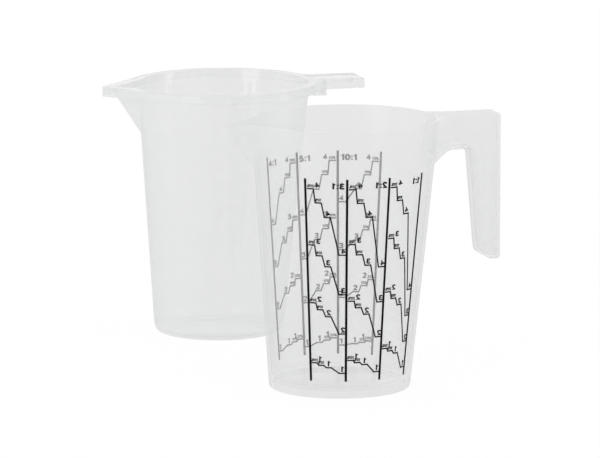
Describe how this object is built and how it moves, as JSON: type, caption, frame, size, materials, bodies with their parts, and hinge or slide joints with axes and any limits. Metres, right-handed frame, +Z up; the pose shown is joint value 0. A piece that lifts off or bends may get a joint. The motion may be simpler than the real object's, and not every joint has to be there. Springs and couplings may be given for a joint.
{
  "type": "resin mixing cup with liner",
  "caption": "Tapered mixing jug with a beak spout, a hollow hook handle and printed ratio scales, and the clear liner with a flange and tab that drops into it.",
  "frame": {"origin": "centre of the ring that the jug stands on", "axes": "+Z up, +X from the jug's axis towards its handle, the spout towards -X, the liner stands beside the jug towards +Y"},
  "size_m": [0.204, 0.32, 0.17],
  "materials": {
    "milky_plastic": "milky translucent polypropylene, satin",
    "clear_plastic": "clear thin moulded polypropylene, glossy",
    "black_ink": "black screen printing ink"
  },
  "bodies": {
    "jug": {"jug": "milky_plastic", "scale_1_to_1": "black_ink", "scale_2_to_1": "black_ink", "scale_3_to_1": "black_ink", "scale_4_to_1": "black_ink", "scale_5_to_1": "black_ink", "scale_10_to_1": "black_ink"},
    "liner": {"liner": "clear_plastic"}
  },
  "joints": [
    {"name": "liner_lift", "type": "slide", "parent": "jug", "child": "liner", "axis": [0, 0, 1], "range_m": [0, 0.17]}
  ]
}
